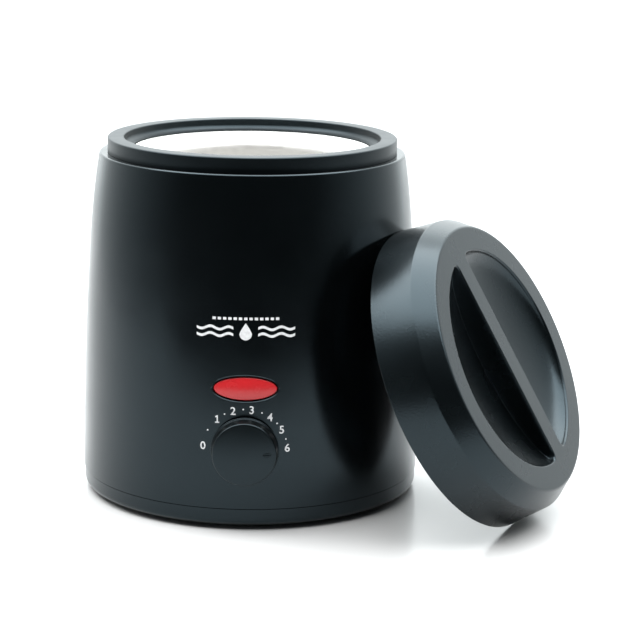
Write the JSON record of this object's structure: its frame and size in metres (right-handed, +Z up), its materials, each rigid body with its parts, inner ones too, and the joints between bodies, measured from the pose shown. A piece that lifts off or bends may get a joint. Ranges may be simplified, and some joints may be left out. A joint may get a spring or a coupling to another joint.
{
  "type": "wax warmer pot",
  "caption": "Round countertop wax warmer with a lift-out aluminium pot, a front temperature knob, an oval indicator lens and a loose scooped lid leaning against its side.",
  "frame": {"origin": "on the pot's axis, on the floor under the middle foot", "axes": "+Z is up along the pot's axis, -Y is the front with the knob, +Y is the back where the cord goes in, +X is the side where the lid leans"},
  "size_m": [0.2218, 0.1972, 0.1578],
  "materials": {
    "housing_plastic": "satin black moulding",
    "collar_plastic": "satin black moulding",
    "lid_plastic": "satin black moulding with a fine grain",
    "knob_plastic": "satin black moulding",
    "rubber": "matt black rubber",
    "red_lens": "glossy red moulding",
    "pot_aluminium": "satin anodised aluminium",
    "well_aluminium": "drawn aluminium",
    "plated_steel": "zinc-plated steel",
    "brass": "turned brass",
    "heater_sheath": "heat-tinted steel over mica",
    "insulation_felt": "needled glass felt",
    "steatite": "unglazed ceramic",
    "white_plastic": "natural moulding",
    "lamp_glass": "clear glass",
    "lead_jacket": "wire jacket",
    "sleeving": "braided glass sleeving"
  },
  "bodies": {
    "housing": {"outer_shell": "housing_plastic", "base_pan": "housing_plastic", "rubber_feet": "rubber", "base_screws": "plated_steel", "top_collar": "collar_plastic", "collar_screws": "plated_steel", "heater_well": "well_aluminium", "well_screws": "plated_steel", "band_heater": "heater_sheath", "heater_clamp": "plated_steel", "clamp_screw": "plated_steel", "insulation_sleeve": "insulation_felt", "heat_shield": "well_aluminium", "shield_studs": "plated_steel", "thermostat_body": "steatite", "thermostat_bushing": "brass", "bushing_nut": "brass", "thermostat_bracket": "plated_steel", "bracket_screws": "plated_steel", "indicator_lens": "red_lens", "lamp_holder": "white_plastic", "neon_lamp": "lamp_glass", "thermal_fuse": "steatite", "fuse_clip": "plated_steel", "terminal_block": "white_plastic", "terminal_screws": "brass", "cord_gland": "rubber", "live_lead": "lead_jacket", "heater_leads": "sleeving", "lamp_leads": "lead_jacket"},
    "knob": {"thermostat_shaft": "plated_steel", "control_knob": "knob_plastic", "knob_clip": "plated_steel"},
    "pot": {"inner_pot": "pot_aluminium"},
    "lid_body": {"lid": "lid_plastic"}
  },
  "joints": [
    {"name": "knob_turn", "type": "hinge", "parent": "housing", "child": "knob", "pos_m": [0, -0.0756, 0.0356], "axis": [0, -1, 0], "range_deg": [0, 170]},
    {"name": "pot_lift", "type": "slide", "parent": "housing", "child": "pot", "axis": [0, 0, 1], "range_m": [0, 0.11]},
    {"name": "lid_pull", "type": "slide", "parent": "housing", "child": "lid_body", "axis": [0.8133, -0.3897, 0.4321], "range_m": [0, 0.12]}
  ]
}
